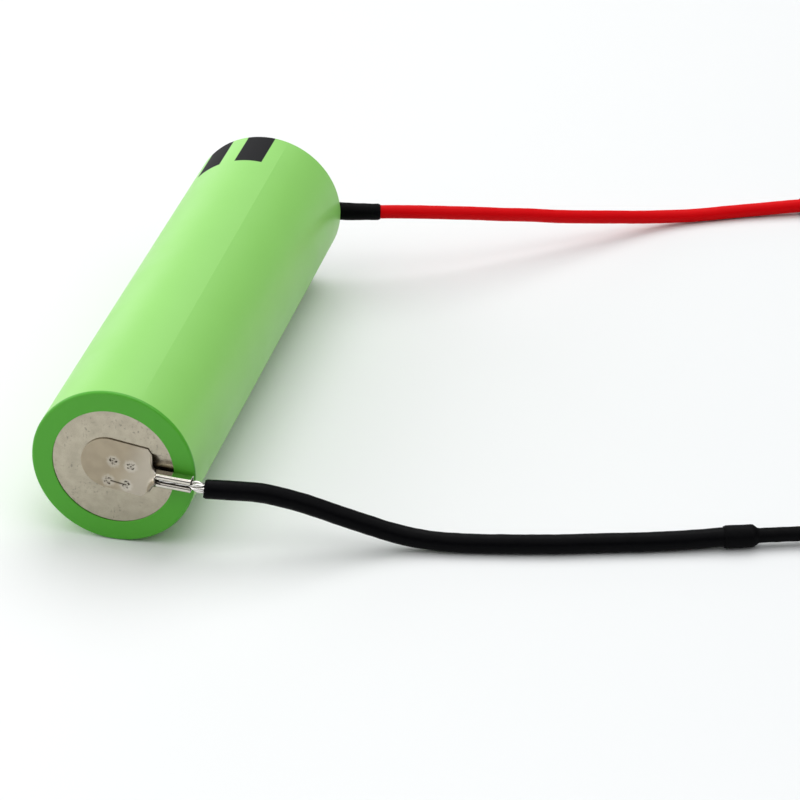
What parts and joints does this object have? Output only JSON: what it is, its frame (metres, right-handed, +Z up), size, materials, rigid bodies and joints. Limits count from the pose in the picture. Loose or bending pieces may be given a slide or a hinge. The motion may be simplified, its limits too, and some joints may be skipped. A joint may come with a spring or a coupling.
{
  "type": "cylindrical battery cell",
  "caption": "Round rechargeable cell in a green film wrap, with crimp-barrel solder tags on both ends and a black and a red flying lead.",
  "frame": {"origin": "on the surface that the cell lies on, under the middle of the cell", "axes": "+Y along the cell from its negative to its positive end, +X the side that both leads leave to, +Z up"},
  "size_m": [0.092, 0.103, 0.0185],
  "materials": {
    "wrap": "semi-gloss shrink film",
    "can_steel": "nickel-plated, satin",
    "tag_nickel": "satin nickel sheet",
    "tinned_strands": "tinned copper strands",
    "black_jacket": "satin",
    "red_jacket": "satin",
    "heat_shrink": "matt shrink tube",
    "white_paper": "matt coated paper",
    "gasket_plastic": "satin",
    "ptc_polymer": "matt",
    "header_aluminium": "mill",
    "fibre_board": "matt fibre board",
    "cathode_coating": "matt coating on foil",
    "anode_coating": "matt coating on copper foil",
    "separator_film": "matt film"
  },
  "bodies": {
    "cell": {"pvc_wrap": "wrap", "cell_can": "can_steel", "negative_tag": "tag_nickel", "positive_tag": "tag_nickel", "black_conductor": "tinned_strands", "red_conductor": "tinned_strands", "black_insulation": "black_jacket", "red_insulation": "red_jacket", "black_end_sleeve": "heat_shrink", "red_end_sleeve": "heat_shrink", "positive_sleeve": "heat_shrink", "positive_cap": "can_steel", "positive_ring_insulator": "white_paper", "header_gasket": "gasket_plastic", "ptc_ring": "ptc_polymer", "vent_disc_rim": "header_aluminium", "cid_insulator": "gasket_plastic", "contact_plate": "header_aluminium", "positive_inner_tab": "header_aluminium", "top_insulator": "fibre_board", "cathode_winding": "cathode_coating", "anode_winding": "anode_coating", "inner_separator": "separator_film", "outer_separator": "separator_film", "center_pin": "can_steel", "bottom_insulator": "fibre_board", "negative_inner_tab": "tag_nickel"},
    "vent_disc": {"vent_disc": "header_aluminium"}
  },
  "joints": [
    {"name": "vent_disc_snap", "type": "slide", "parent": "cell", "child": "vent_disc", "axis": [0, 1, 0], "range_m": [0, 0.0005]}
  ]
}
